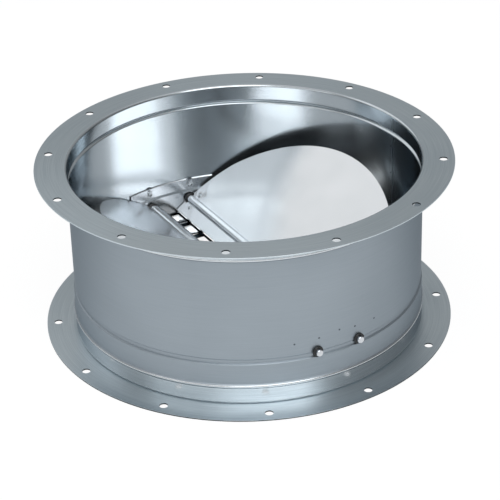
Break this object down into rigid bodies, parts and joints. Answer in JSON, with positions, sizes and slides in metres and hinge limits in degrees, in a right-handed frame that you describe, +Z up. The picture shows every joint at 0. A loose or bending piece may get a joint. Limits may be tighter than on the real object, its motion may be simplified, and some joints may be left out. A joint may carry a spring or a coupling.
{
  "type": "duct backdraft damper",
  "caption": "Round flanged duct backdraft damper: a galvanised casing with a bolting flange at each end and two half-disc blades on parallel shafts that swing open with the air flow.",
  "frame": {"origin": "centre of the lower flange's face", "axes": "+Z up along the duct, towards the upper flange; +X along both blade shafts; +Y towards the right blade"},
  "size_m": [0.4739, 0.474, 0.2],
  "materials": {
    "galvanised_casing": "galvanised sheet, satin outside and bright inside",
    "galvanised_flange": "galvanised, matte blue-grey",
    "galvanised_fittings": "galvanised, satin",
    "black_bush": "black nylon",
    "aluminium_blade": "bright satin",
    "plated_shaft": "bright zinc plated, turned ends",
    "rivet": "plain"
  },
  "bodies": {
    "casing": {"casing_tube": "galvanised_casing", "upper_flange": "galvanised_flange", "lower_flange": "galvanised_flange", "front_bearing_plate": "galvanised_fittings", "rear_bearing_plate": "galvanised_fittings", "right_seat_strip": "galvanised_fittings", "left_seat_strip": "galvanised_fittings", "centre_bar": "galvanised_fittings", "front_left_bush": "black_bush", "front_right_bush": "black_bush", "rear_left_bush": "black_bush", "rear_right_bush": "black_bush"},
    "right_leaf": {"right_blade": "aluminium_blade", "right_shaft": "plated_shaft", "right_front_clamp": "galvanised_fittings", "right_middle_clamp": "galvanised_fittings", "right_rear_clamp": "galvanised_fittings", "right_clamp_rivets": "rivet"},
    "left_leaf": {"left_blade": "aluminium_blade", "left_shaft": "plated_shaft", "left_front_clamp": "galvanised_fittings", "left_middle_clamp": "galvanised_fittings", "left_rear_clamp": "galvanised_fittings", "left_clamp_rivets": "rivet"}
  },
  "joints": [
    {"name": "right_blade_swing", "type": "hinge", "parent": "casing", "child": "right_leaf", "pos_m": [0, 0.026, 0.056], "axis": [1, 0, 0], "range_deg": [-38, 42]},
    {"name": "left_blade_swing", "type": "hinge", "parent": "casing", "child": "left_leaf", "pos_m": [0, -0.026, 0.056], "axis": [-1, 0, 0], "range_deg": [-33, 47]}
  ]
}
